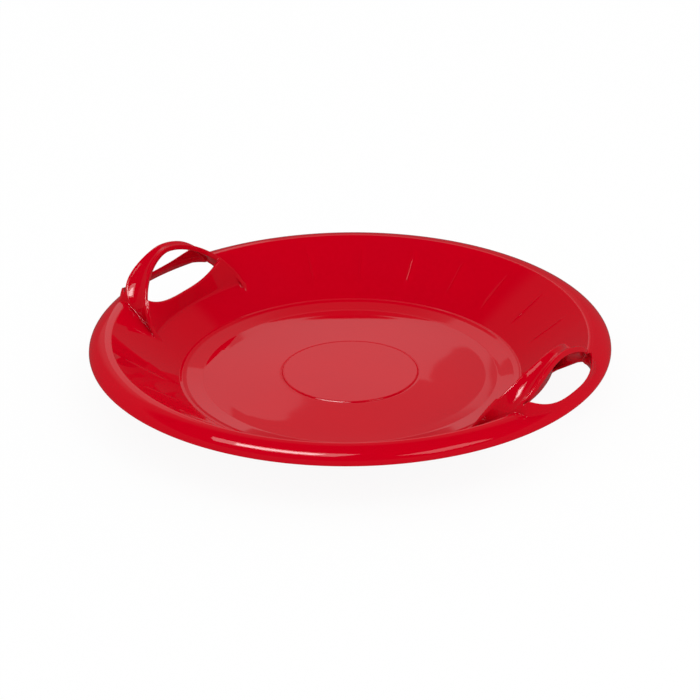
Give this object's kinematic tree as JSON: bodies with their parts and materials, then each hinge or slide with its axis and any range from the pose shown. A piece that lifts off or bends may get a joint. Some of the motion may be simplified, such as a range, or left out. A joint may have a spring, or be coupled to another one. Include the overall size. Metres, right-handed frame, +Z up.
{
  "type": "saucer sled",
  "caption": "Shallow round dish for sliding on snow, with a raised middle disc, a conical wall, a rounded lip and arched hand holds at its sides.",
  "frame": {"origin": "centre of the ring that the dish rests on, at the level of the ground", "axes": "+Z up, +Y the way the rider faces, hand holds on -X and +X"},
  "size_m": [0.6, 0.6, 0.1055],
  "materials": {
    "saucer_floor_plastic": "glossy",
    "saucer_wall_plastic": "glossy",
    "left_handle_plastic": "glossy",
    "right_handle_plastic": "glossy"
  },
  "bodies": {
    "root": {"saucer_floor": "saucer_floor_plastic", "saucer_wall": "saucer_wall_plastic", "left_handle": "left_handle_plastic", "right_handle": "right_handle_plastic"}
  },
  "joints": []
}
